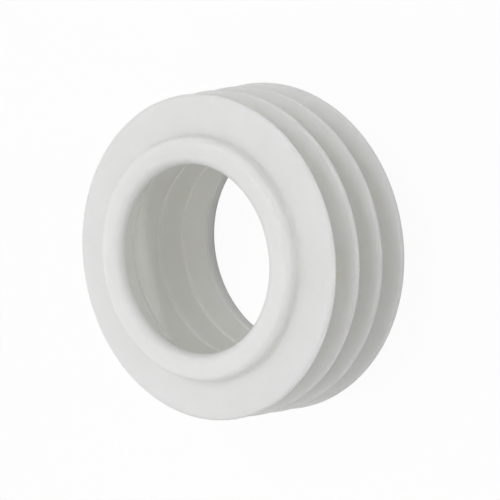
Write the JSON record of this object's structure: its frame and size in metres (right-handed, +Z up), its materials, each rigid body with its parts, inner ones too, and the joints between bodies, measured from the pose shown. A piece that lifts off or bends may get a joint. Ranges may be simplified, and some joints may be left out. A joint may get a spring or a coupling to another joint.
{
  "type": "flush cone",
  "caption": "Soft white rubber sleeve with thin ring fins outside, a ribbed socket for a flush pipe inside and a rounded collar at its outlet, sealing the pipe into a pan's inlet horn.",
  "frame": {"origin": "centre of the pipe end, on the surface that the cone stands on", "axes": "+Z up the axis of the bore, from the end where the flush pipe enters to the collar; X and Y are any two directions across it"},
  "size_m": [0.063, 0.063, 0.0325],
  "materials": {
    "white_rubber": "matte"
  },
  "bodies": {
    "root": {"flush_cone": "white_rubber"}
  },
  "joints": []
}
